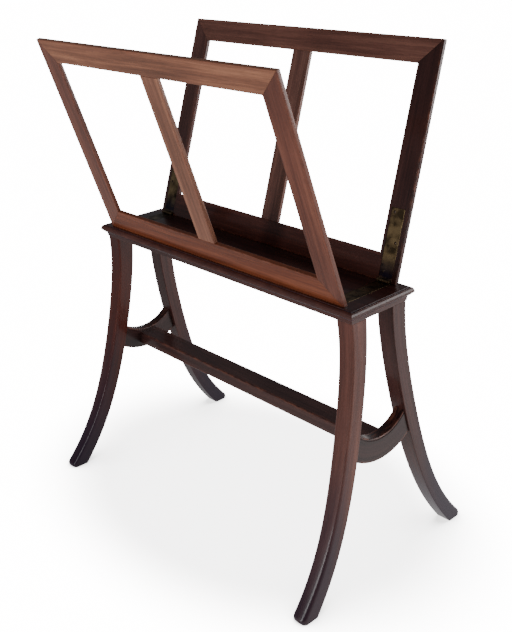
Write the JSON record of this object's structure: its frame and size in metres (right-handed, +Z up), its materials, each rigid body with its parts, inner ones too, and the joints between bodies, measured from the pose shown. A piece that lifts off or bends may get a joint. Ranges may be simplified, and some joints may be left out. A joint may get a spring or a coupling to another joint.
{
  "type": "folio stand",
  "caption": "Wooden folio stand: open mitred frames, hinged in brass at the foot, form a V trough on a moulded platform with splayed sabre legs, hooped end rails and a long stretcher.",
  "frame": {"origin": "on the floor, below the middle of the platform", "axes": "+X along the platform, +Y to the back, +Z up"},
  "size_m": [0.8554, 0.5088, 1.0819],
  "materials": {
    "mahogany": "french polished",
    "brass_hinges": "aged",
    "brass_screws": "aged"
  },
  "bodies": {
    "base": {"back_left_leg": "mahogany", "back_left_pin": "brass_hinges", "back_moulding": "mahogany", "back_right_leg": "mahogany", "back_right_pin": "brass_hinges", "front_left_leg": "mahogany", "front_left_pin": "brass_hinges", "front_moulding": "mahogany", "front_right_leg": "mahogany", "front_right_pin": "brass_hinges", "left_bearer": "mahogany", "left_hoop": "mahogany", "left_moulding": "mahogany", "left_platform_leaf": "brass_hinges", "left_platform_screw_1": "brass_screws", "left_platform_screw_2": "brass_screws", "left_platform_screw_3": "brass_screws", "left_platform_screw_4": "brass_screws", "long_stretcher": "mahogany", "platform_board": "mahogany", "right_bearer": "mahogany", "right_hoop": "mahogany", "right_moulding": "mahogany", "right_platform_leaf": "brass_hinges", "right_platform_screw_1": "brass_screws", "right_platform_screw_2": "brass_screws", "right_platform_screw_3": "brass_screws", "right_platform_screw_4": "brass_screws"},
    "front_frame": {"front_frame_bottom_rail": "mahogany", "front_frame_left_leaf": "brass_hinges", "front_frame_left_screw_1": "brass_screws", "front_frame_left_screw_2": "brass_screws", "front_frame_left_screw_3": "brass_screws", "front_frame_left_stile": "mahogany", "front_frame_muntin": "mahogany", "front_frame_right_leaf": "brass_hinges", "front_frame_right_screw_1": "brass_screws", "front_frame_right_screw_2": "brass_screws", "front_frame_right_screw_3": "brass_screws", "front_frame_right_stile": "mahogany", "front_frame_top_rail": "mahogany"},
    "back_frame": {"back_frame_bottom_rail": "mahogany", "back_frame_left_leaf": "brass_hinges", "back_frame_left_screw_1": "brass_screws", "back_frame_left_screw_2": "brass_screws", "back_frame_left_screw_3": "brass_screws", "back_frame_left_stile": "mahogany", "back_frame_muntin": "mahogany", "back_frame_right_leaf": "brass_hinges", "back_frame_right_screw_1": "brass_screws", "back_frame_right_screw_2": "brass_screws", "back_frame_right_screw_3": "brass_screws", "back_frame_right_stile": "mahogany", "back_frame_top_rail": "mahogany"}
  },
  "joints": [
    {"name": "front_frame_fold", "type": "hinge", "parent": "base", "child": "front_frame", "pos_m": [0, -0.06756, 0.6074], "axis": [-1, 0, 0], "range_deg": [0, 24]},
    {"name": "back_frame_fold", "type": "hinge", "parent": "base", "child": "back_frame", "pos_m": [0, 0.06756, 0.6074], "axis": [1, 0, 0], "range_deg": [0, 24]}
  ]
}
